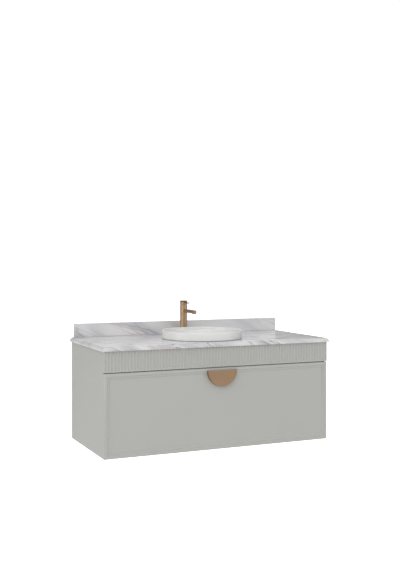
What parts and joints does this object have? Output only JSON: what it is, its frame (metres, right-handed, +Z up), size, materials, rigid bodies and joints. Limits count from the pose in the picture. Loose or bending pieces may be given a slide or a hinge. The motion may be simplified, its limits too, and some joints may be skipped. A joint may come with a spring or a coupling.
{
  "type": "vanity unit with basin",
  "caption": "Wall-hung bathroom vanity with a fluted fascia, wide drawer, half-moon pull, marble top, round semi-recessed basin and pin-lever mixer tap.",
  "frame": {"origin": "centre of the upper pair of wall screw holes, on the wall plane at the back face of the upper back rail", "axes": "+X across the vanity to the right as seen from the room, +Y into the wall, +Z up"},
  "size_m": [1.22, 0.603, 0.7035],
  "materials": {
    "painted_board": "satin warm grey paint on fibreboard",
    "carcass_board": "matt warm grey laminate on fibreboard",
    "drawer_board": "light grey linen-grain laminate",
    "marble": "honed white marble with grey and lilac veins",
    "glazed_white": "satin white glaze",
    "brushed_bronze": "brushed bronze",
    "chrome_plate": "polished",
    "zinc_steel": "bright zinc plate",
    "clear_silicone": "translucent",
    "black_rubber": "matt",
    "moulded_plastic": "moulded",
    "brass_metal": "machined"
  },
  "bodies": {
    "cabinet": {"side_panel_left": "painted_board", "side_panel_right": "painted_board", "bottom_panel": "carcass_board", "back_rail_upper": "carcass_board", "back_rail_lower": "carcass_board", "front_rail": "carcass_board", "fluted_fascia": "painted_board", "cam_locks": "zinc_steel", "cam_bolts": "zinc_steel", "corner_braces": "zinc_steel", "cabinet_screws": "zinc_steel", "drawer_bumpers": "clear_silicone", "countertop": "marble", "backsplash": "marble", "basin": "glazed_white", "basin_seal": "clear_silicone", "waste_body": "brushed_bronze", "click_cartridge": "moulded_plastic", "waste_gasket": "black_rubber", "waste_nut": "chrome_plate", "trap_inlet_tube": "chrome_plate", "trap_nuts": "chrome_plate", "trap_bottle": "chrome_plate", "trap_cup": "chrome_plate", "outlet_pipe": "chrome_plate", "wall_rosette": "chrome_plate", "tap_base_gasket": "black_rubber", "tap_base_ring": "brushed_bronze", "tap_body": "brushed_bronze", "tap_spout": "brushed_bronze", "tap_aerator": "moulded_plastic", "tap_cartridge": "moulded_plastic", "cartridge_nut": "brass_metal", "tap_shank": "zinc_steel", "shank_washer": "black_rubber", "shank_nut": "zinc_steel", "runner_cabinet_members": "zinc_steel"},
    "runner_middle": {"runner_middle_members": "zinc_steel", "ball_cages": "moulded_plastic"},
    "drawer": {"drawer_front": "painted_board", "half_moon_handle": "brushed_bronze", "handle_screws": "zinc_steel", "drawer_inner_front": "drawer_board", "drawer_side_left": "drawer_board", "drawer_side_right": "drawer_board", "drawer_back_boards": "drawer_board", "notch_boards": "drawer_board", "drawer_bottom": "drawer_board", "drawer_screws": "zinc_steel", "runner_drawer_members": "zinc_steel"},
    "plug": {"waste_plug": "brushed_bronze", "plug_seal": "black_rubber"},
    "tap_carrier": {"tap_carrier": "moulded_plastic", "stem_pin": "zinc_steel"},
    "tap_handle": {"cartridge_stem": "zinc_steel", "tap_cap": "brushed_bronze", "lever_pin": "brushed_bronze", "grub_screw": "zinc_steel"}
  },
  "joints": [
    {"name": "drawer_slide", "type": "slide", "parent": "cabinet", "child": "drawer", "axis": [0, -1, 0], "range_m": [0, 0.45]},
    {"name": "runner_slide", "type": "slide", "parent": "cabinet", "child": "runner_middle", "axis": [0, -1, 0], "range_m": [0, 0.225]},
    {"name": "plug_click", "type": "slide", "parent": "cabinet", "child": "plug", "axis": [0, 0, 1], "range_m": [0, 0.009]},
    {"name": "tap_turn", "type": "hinge", "parent": "cabinet", "child": "tap_carrier", "pos_m": [0, -0.07, 0.218], "axis": [0, 0, 1], "range_deg": [-50, 50]},
    {"name": "tap_lift", "type": "hinge", "parent": "tap_carrier", "child": "tap_handle", "pos_m": [0, -0.07, 0.218], "axis": [-1, 0, 0], "range_deg": [0, 18]}
  ],
  "couplings": [
    {"joint": "runner_slide", "follows": "drawer_slide", "ratio": 0.5}
  ]
}
